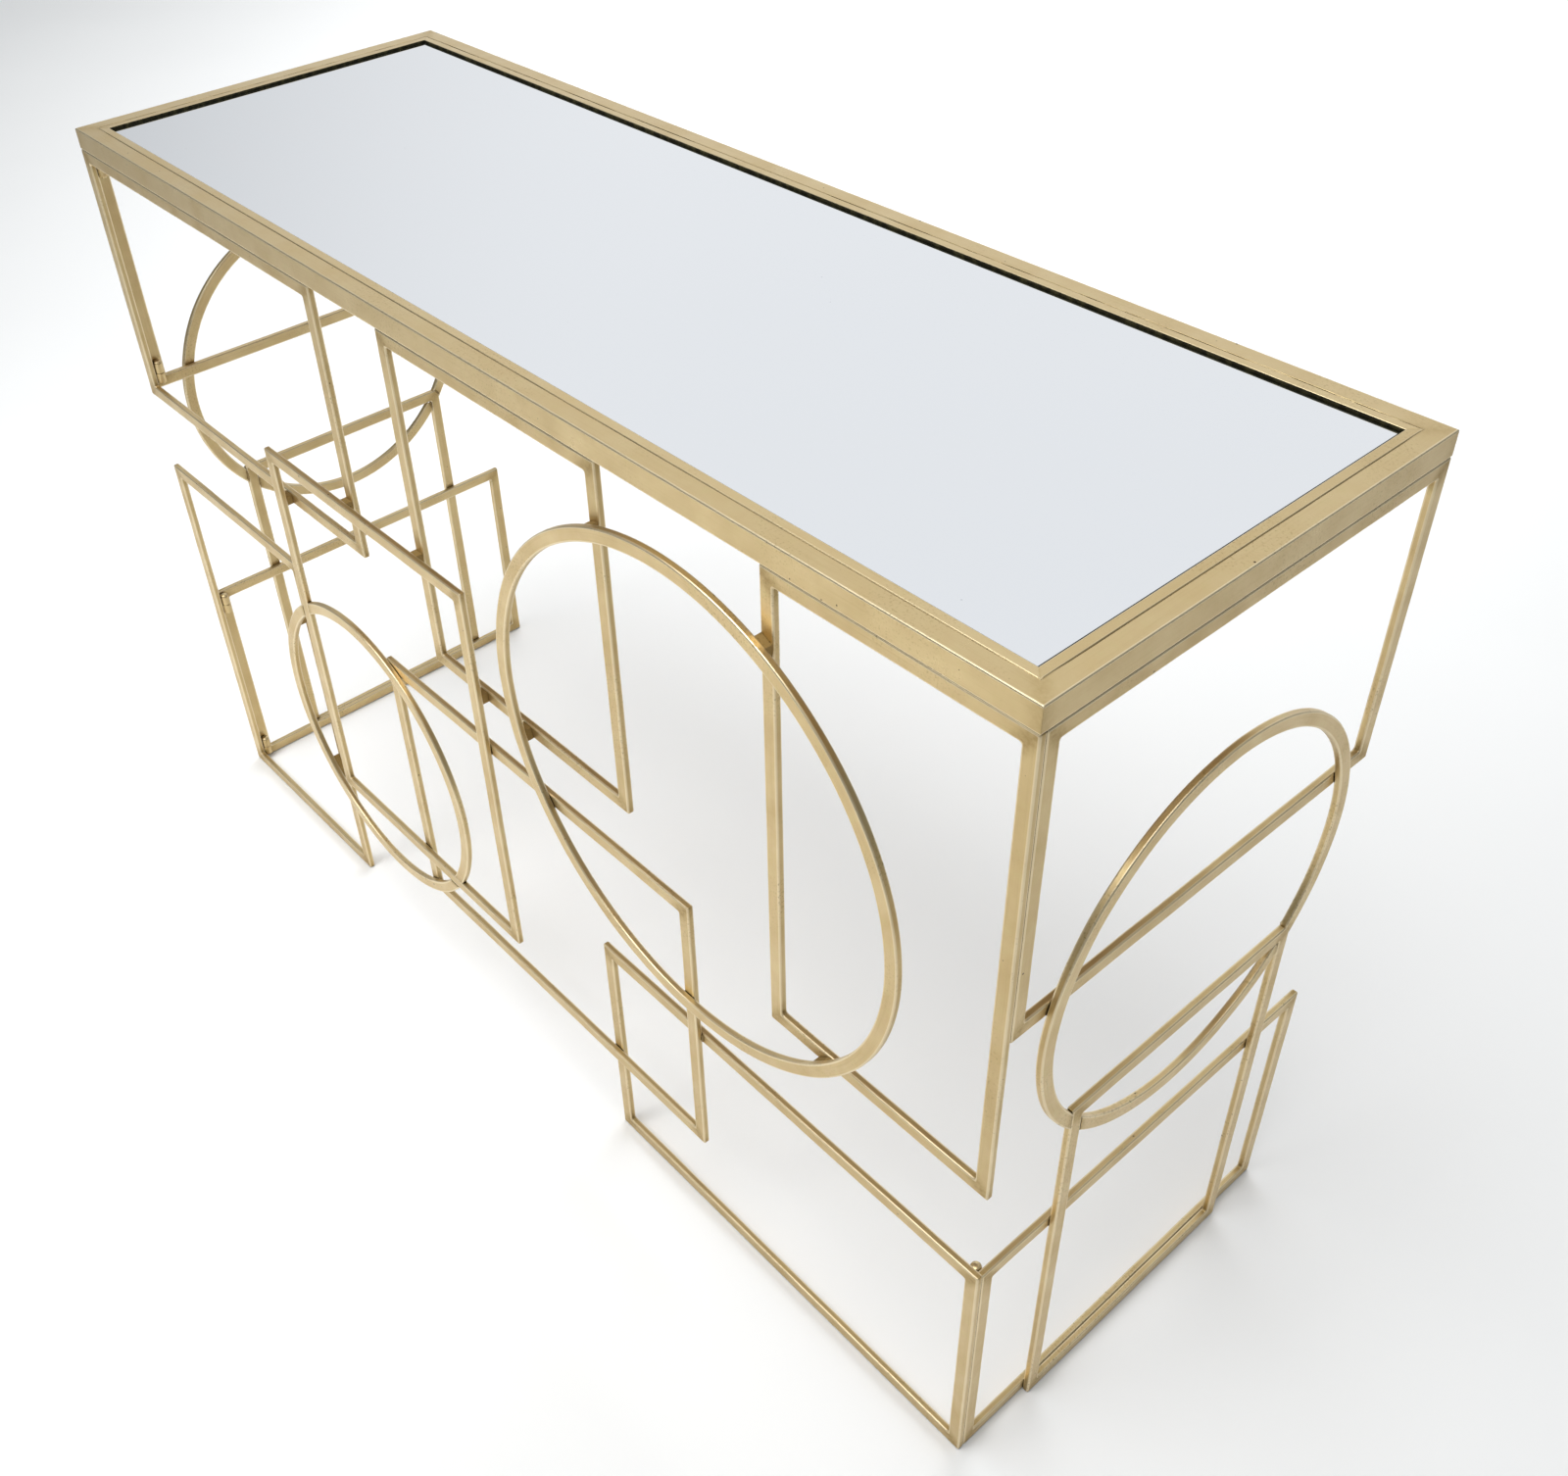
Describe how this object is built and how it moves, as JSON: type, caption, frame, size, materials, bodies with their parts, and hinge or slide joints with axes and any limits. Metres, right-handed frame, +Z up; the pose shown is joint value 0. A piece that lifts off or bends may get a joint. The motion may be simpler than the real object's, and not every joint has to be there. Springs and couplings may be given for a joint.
{
  "type": "vanity console table",
  "caption": "Vanity console table with a framed mirror top on a gilt flat-bar base of overlapping frames and rings, with fold-in hinged end panels.",
  "frame": {"origin": "on the floor, under the middle of the whole table", "axes": "+X to the right along the front, +Y to the back, +Z up"},
  "size_m": [1.212, 0.416, 0.8],
  "materials": {
    "gilt_bar": "antique gold leaf paint, satin",
    "gilt_top": "antique gold leaf paint, satin",
    "hinge_pin": "gold paint, worn",
    "mirror": "clear float glass, silvered behind",
    "board": "raw medium-density fibreboard",
    "zinc_screw": "zinc plated"
  },
  "bodies": {
    "root": {"front_frame_lower_left": "gilt_bar", "front_frame_lower_right": "gilt_bar", "front_frame_middle_left": "gilt_bar", "front_frame_middle_right": "gilt_bar", "front_frame_upper_left": "gilt_bar", "front_frame_upper_middle": "gilt_bar", "front_frame_upper_right": "gilt_bar", "front_ring_large": "gilt_bar", "front_ring_small": "gilt_bar", "front_weld_pads": "gilt_bar", "left_hinge_front_knuckles": "gilt_bar", "left_hinge_pins": "hinge_pin", "mirror_glass": "mirror", "right_hinge_front_knuckles": "gilt_bar", "right_hinge_pins": "hinge_pin", "top_board": "board", "top_rail_back": "gilt_top", "top_rail_front": "gilt_top", "top_rail_left": "gilt_top", "top_rail_right": "gilt_top", "top_screws": "zinc_screw", "top_strip_back": "gilt_top", "top_strip_front": "gilt_top", "top_strip_left": "gilt_top", "top_strip_right": "gilt_top", "top_tabs": "gilt_top"},
    "right_end": {"right_end_frame_lower": "gilt_bar", "right_end_frame_middle": "gilt_bar", "right_end_frame_upper": "gilt_bar", "right_end_ring": "gilt_bar", "right_hinge_end_knuckles": "gilt_bar"},
    "left_end": {"left_end_frame_lower": "gilt_bar", "left_end_frame_middle": "gilt_bar", "left_end_frame_upper": "gilt_bar", "left_end_ring": "gilt_bar", "left_hinge_end_knuckles": "gilt_bar"}
  },
  "joints": [
    {"name": "right_end_fold", "type": "hinge", "parent": "root", "child": "right_end", "pos_m": [0.5892, -0.1852, 0.4], "axis": [0, 0, 1], "range_deg": [0, 90]},
    {"name": "left_end_fold", "type": "hinge", "parent": "root", "child": "left_end", "pos_m": [-0.5892, -0.1852, 0.4], "axis": [0, 0, -1], "range_deg": [0, 90]}
  ]
}
